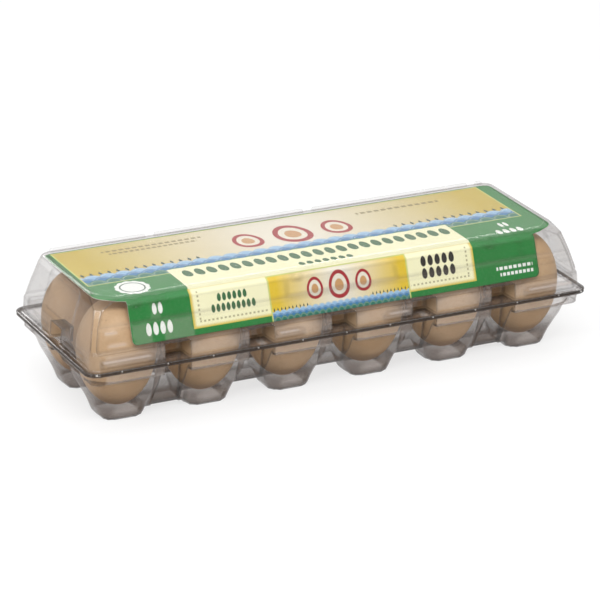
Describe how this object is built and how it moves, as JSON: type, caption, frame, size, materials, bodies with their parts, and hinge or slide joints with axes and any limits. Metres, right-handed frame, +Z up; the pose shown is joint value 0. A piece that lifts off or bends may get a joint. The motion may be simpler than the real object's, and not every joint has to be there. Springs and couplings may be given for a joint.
{
  "type": "egg carton with eggs",
  "caption": "Clear hinged plastic carton of brown eggs standing in two rows of cups, with a printed card under the lid that folds down its front.",
  "frame": {"origin": "middle of the carton's footprint, on the surface it stands on", "axes": "+X along the carton's length, -Y towards the front where the card folds down, +Y towards the hinge, +Z up"},
  "size_m": [0.3, 0.108, 0.072],
  "materials": {
    "clear_plastic": "thin clear plastic, slightly smoky, glossy",
    "printed_card": "coated card printed in green, cream, yellow and blue fields",
    "brown_eggshell": "matt brown eggshell with faint darker specks"
  },
  "bodies": {
    "base": {"tray": "clear_plastic", "egg_01": "brown_eggshell", "egg_02": "brown_eggshell", "egg_03": "brown_eggshell", "egg_04": "brown_eggshell", "egg_05": "brown_eggshell", "egg_06": "brown_eggshell", "egg_07": "brown_eggshell", "egg_08": "brown_eggshell", "egg_09": "brown_eggshell", "egg_10": "brown_eggshell", "egg_11": "brown_eggshell", "egg_12": "brown_eggshell"},
    "lid": {"lid": "clear_plastic", "card": "printed_card"}
  },
  "joints": [
    {"name": "lid_hinge", "type": "hinge", "parent": "base", "child": "lid", "pos_m": [0, 0.054, 0.03515], "axis": [-1, 0, 0], "range_deg": [0, 170]}
  ]
}
